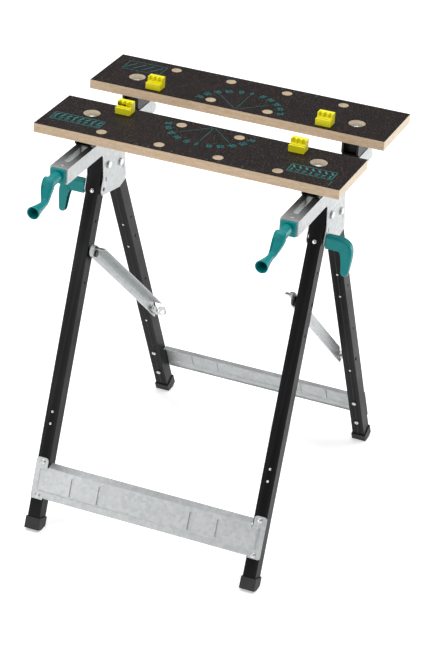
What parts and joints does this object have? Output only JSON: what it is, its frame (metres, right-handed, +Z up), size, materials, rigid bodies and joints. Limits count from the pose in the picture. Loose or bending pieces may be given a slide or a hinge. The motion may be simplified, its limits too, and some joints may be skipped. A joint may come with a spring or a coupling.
{
  "type": "folding clamping workbench",
  "caption": "Folding trestle workbench with two clamping jaw boards on steel rails, crank spindles, lift-out bench dogs, folding legs and latching struts.",
  "frame": {"origin": "on the floor under the middle of the bounding box", "axes": "+Z up, X along the jaws, -Y towards the crank handles"},
  "size_m": [0.6, 0.6826, 0.8193],
  "materials": {
    "jaw_board": "wood board with a black textured facing and bare edges",
    "galvanised_sheet": "zinc coated sheet, satin",
    "black_steel": "black powder coat, semi-gloss",
    "zinc_bolt": "bright zinc",
    "spindle_steel": "oiled steel",
    "black_plastic": "matt",
    "rubber": "matt",
    "teal_plastic": "satin moulded",
    "yellow_plastic": "satin moulded"
  },
  "bodies": {
    "head": {"rear_jaw": "jaw_board", "left_rail": "galvanised_sheet", "right_rail": "galvanised_sheet", "left_spindle_bush": "teal_plastic", "right_spindle_bush": "teal_plastic", "left_rear_jaw_block": "black_plastic", "right_rear_jaw_block": "black_plastic", "left_rear_jaw_bolt": "zinc_bolt", "right_rear_jaw_bolt": "zinc_bolt", "left_front_leg_pivot": "zinc_bolt", "right_front_leg_pivot": "zinc_bolt", "left_rear_leg_pivot": "zinc_bolt", "right_rear_leg_pivot": "zinc_bolt", "left_lock_pin": "zinc_bolt", "right_lock_pin": "zinc_bolt"},
    "moving_jaw": {"front_jaw": "jaw_board", "left_front_jaw_carriage": "black_plastic", "right_front_jaw_carriage": "black_plastic", "left_front_jaw_bolt": "zinc_bolt", "right_front_jaw_bolt": "zinc_bolt", "left_spindle_nut": "spindle_steel", "right_spindle_nut": "spindle_steel"},
    "left_drive": {"left_spindle": "spindle_steel", "left_crank": "teal_plastic"},
    "right_drive": {"right_spindle": "spindle_steel", "right_crank": "teal_plastic"},
    "front_legs": {"front_crossbar": "galvanised_sheet", "left_front_leg": "black_steel", "right_front_leg": "black_steel", "left_front_foot": "rubber", "right_front_foot": "rubber", "left_front_bar_lower_screw": "zinc_bolt", "right_front_bar_lower_screw": "zinc_bolt", "left_front_bar_upper_screw": "zinc_bolt", "right_front_bar_upper_screw": "zinc_bolt", "left_strut_pivot": "black_plastic", "right_strut_pivot": "black_plastic"},
    "rear_legs": {"rear_crossbar": "galvanised_sheet", "left_rear_leg": "black_steel", "right_rear_leg": "black_steel", "left_rear_foot": "rubber", "right_rear_foot": "rubber", "left_rear_bar_lower_screw": "zinc_bolt", "right_rear_bar_lower_screw": "zinc_bolt", "left_rear_bar_upper_screw": "zinc_bolt", "right_rear_bar_upper_screw": "zinc_bolt", "left_strut_stud": "zinc_bolt", "right_strut_stud": "zinc_bolt"},
    "left_strut": {"left_strut": "galvanised_sheet"},
    "left_catch": {"left_strut_catch": "galvanised_sheet"},
    "left_lever": {"left_lock_lever": "teal_plastic"},
    "left_front_dog": {"left_front_dog": "yellow_plastic"},
    "left_rear_dog": {"left_rear_dog": "yellow_plastic"},
    "right_strut": {"right_strut": "galvanised_sheet"},
    "right_catch": {"right_strut_catch": "galvanised_sheet"},
    "right_lever": {"right_lock_lever": "teal_plastic"},
    "right_front_dog": {"right_front_dog": "yellow_plastic"},
    "right_rear_dog": {"right_rear_dog": "yellow_plastic"}
  },
  "joints": [
    {"name": "rear_legs_fold", "type": "hinge", "parent": "head", "child": "rear_legs", "pos_m": [0, 0.00373, 0.665], "axis": [-1, 0, 0], "range_deg": [0, 93]},
    {"name": "front_legs_fold", "type": "hinge", "parent": "head", "child": "front_legs", "pos_m": [0, -0.05028, 0.68], "axis": [-1, 0, 0], "range_deg": [0, 50.65]},
    {"name": "left_strut_swing", "type": "hinge", "parent": "front_legs", "child": "left_strut", "pos_m": [-0.205, -0.10318, 0.5154], "axis": [-1, 0, 0], "range_deg": [0, 64.18]},
    {"name": "left_catch_release", "type": "hinge", "parent": "left_strut", "child": "left_catch", "pos_m": [-0.199, 0.17421, 0.2675], "axis": [-1, 0, 0], "range_deg": [0, 10], "stiffness_Nm_per_rad": 0.03, "springref_deg": -17.19},
    {"name": "right_strut_swing", "type": "hinge", "parent": "front_legs", "child": "right_strut", "pos_m": [0.205, -0.10318, 0.5154], "axis": [-1, 0, 0], "range_deg": [0, 64.18]},
    {"name": "right_catch_release", "type": "hinge", "parent": "right_strut", "child": "right_catch", "pos_m": [0.199, 0.17421, 0.2675], "axis": [-1, 0, 0], "range_deg": [0, 10], "stiffness_Nm_per_rad": 0.03, "springref_deg": -17.19},
    {"name": "left_crank_turn", "type": "hinge", "parent": "head", "child": "left_drive", "pos_m": [-0.226, -0.22828, 0.725], "axis": [0, 1, 0], "range_deg": [-1621, 8065]},
    {"name": "right_crank_turn", "type": "hinge", "parent": "head", "child": "right_drive", "pos_m": [0.226, -0.22828, 0.725], "axis": [0, 1, 0], "range_deg": [-1621, 8065]},
    {"name": "front_jaw_clamp", "type": "slide", "parent": "head", "child": "moving_jaw", "axis": [0, 1, 0], "range_m": [-0.018, 0.0896]},
    {"name": "left_lever_swing", "type": "hinge", "parent": "head", "child": "left_lever", "pos_m": [-0.246, -0.06728, 0.635], "axis": [-1, 0, 0], "range_deg": [0, 35]},
    {"name": "right_lever_swing", "type": "hinge", "parent": "head", "child": "right_lever", "pos_m": [0.246, -0.06728, 0.635], "axis": [-1, 0, 0], "range_deg": [0, 35]},
    {"name": "left_front_dog_lift", "type": "slide", "parent": "moving_jaw", "child": "left_front_dog", "axis": [0, 0, 1], "range_m": [0, 0.03]},
    {"name": "left_rear_dog_lift", "type": "slide", "parent": "head", "child": "left_rear_dog", "axis": [0, 0, 1], "range_m": [0, 0.03]},
    {"name": "right_front_dog_lift", "type": "slide", "parent": "moving_jaw", "child": "right_front_dog", "axis": [0, 0, 1], "range_m": [0, 0.03]},
    {"name": "right_rear_dog_lift", "type": "slide", "parent": "head", "child": "right_rear_dog", "axis": [0, 0, 1], "range_m": [0, 0.03]}
  ],
  "couplings": [
    {"joint": "front_legs_fold", "follows": "rear_legs_fold", "ratio": 0.5435},
    {"joint": "left_strut_swing", "follows": "rear_legs_fold", "ratio": 0.68898},
    {"joint": "right_strut_swing", "follows": "rear_legs_fold", "ratio": 0.68898},
    {"joint": "left_crank_turn", "follows": "front_jaw_clamp", "rad_per_m": 1570.8},
    {"joint": "right_crank_turn", "follows": "front_jaw_clamp", "rad_per_m": 1570.8}
  ]
}
